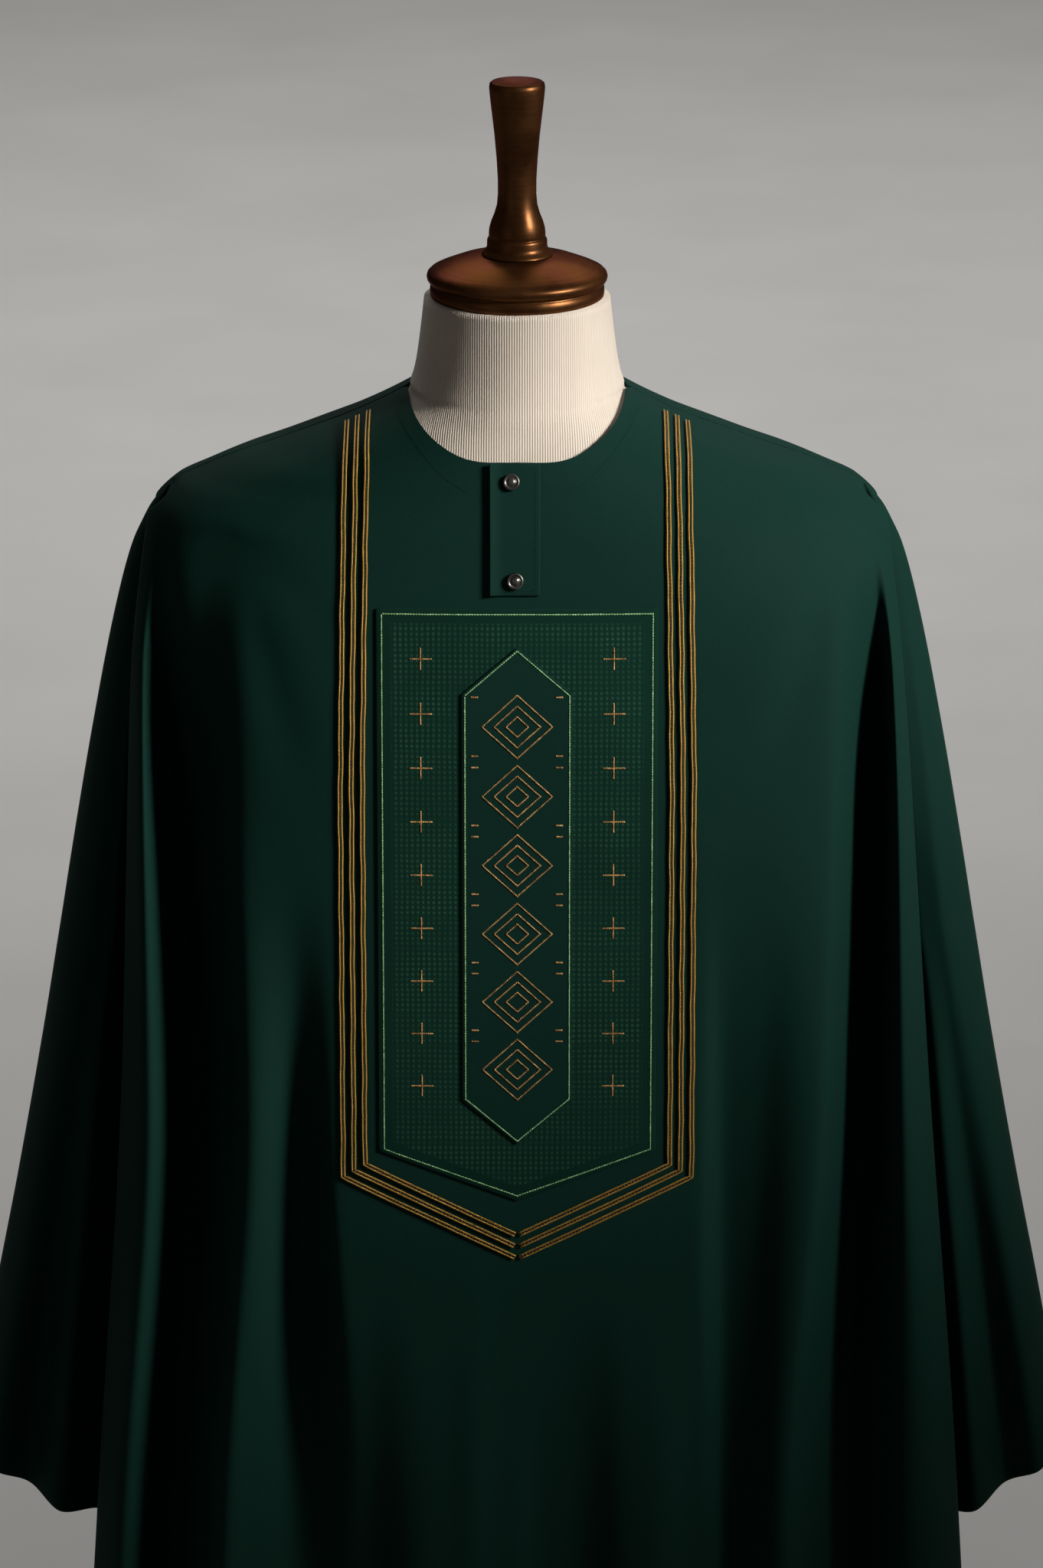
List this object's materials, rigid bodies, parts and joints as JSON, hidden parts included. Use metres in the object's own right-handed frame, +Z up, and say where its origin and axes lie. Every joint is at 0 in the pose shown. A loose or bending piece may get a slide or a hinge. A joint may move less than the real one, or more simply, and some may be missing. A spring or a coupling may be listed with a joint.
{
  "type": "agbada on a dress form",
  "caption": "Long wide-sleeved robe with a round neck, short buttoned placket and embroidered chest, standing on a limbless dress form with a turned handle and a round base.",
  "frame": {"origin": "centre of the base's flat underside, on the floor", "axes": "+Z up along the pole and the form; the robe's front faces -Y; +X is the wearer's left"},
  "size_m": [0.7992, 0.4076, 1.698],
  "materials": {
    "robe_cloth": "fine smooth suiting, dark bottle green with a slight sheen",
    "panel_cloth": "green check weave with paler dots",
    "gold_thread": "couched gold cord",
    "button_metal": "dark ringed metal",
    "form_jersey": "cream finely ribbed jersey",
    "cap_bronze": "satin copper brown bronze",
    "stand_metal": "dark bronze powder coat"
  },
  "bodies": {
    "root": {"front": "robe_cloth", "back": "robe_cloth", "sleeve_left": "robe_cloth", "sleeve_right": "robe_cloth", "placket": "robe_cloth", "button_upper": "button_metal", "button_lower": "button_metal", "chest_panel": "panel_cloth", "inner_panel": "robe_cloth", "cord_left_1": "gold_thread", "cord_left_2": "gold_thread", "cord_left_3": "gold_thread", "cord_right_1": "gold_thread", "cord_right_2": "gold_thread", "cord_right_3": "gold_thread", "form": "form_jersey", "neck_cap": "cap_bronze", "cap_handle": "cap_bronze", "pole": "stand_metal", "base": "stand_metal"}
  },
  "joints": []
}
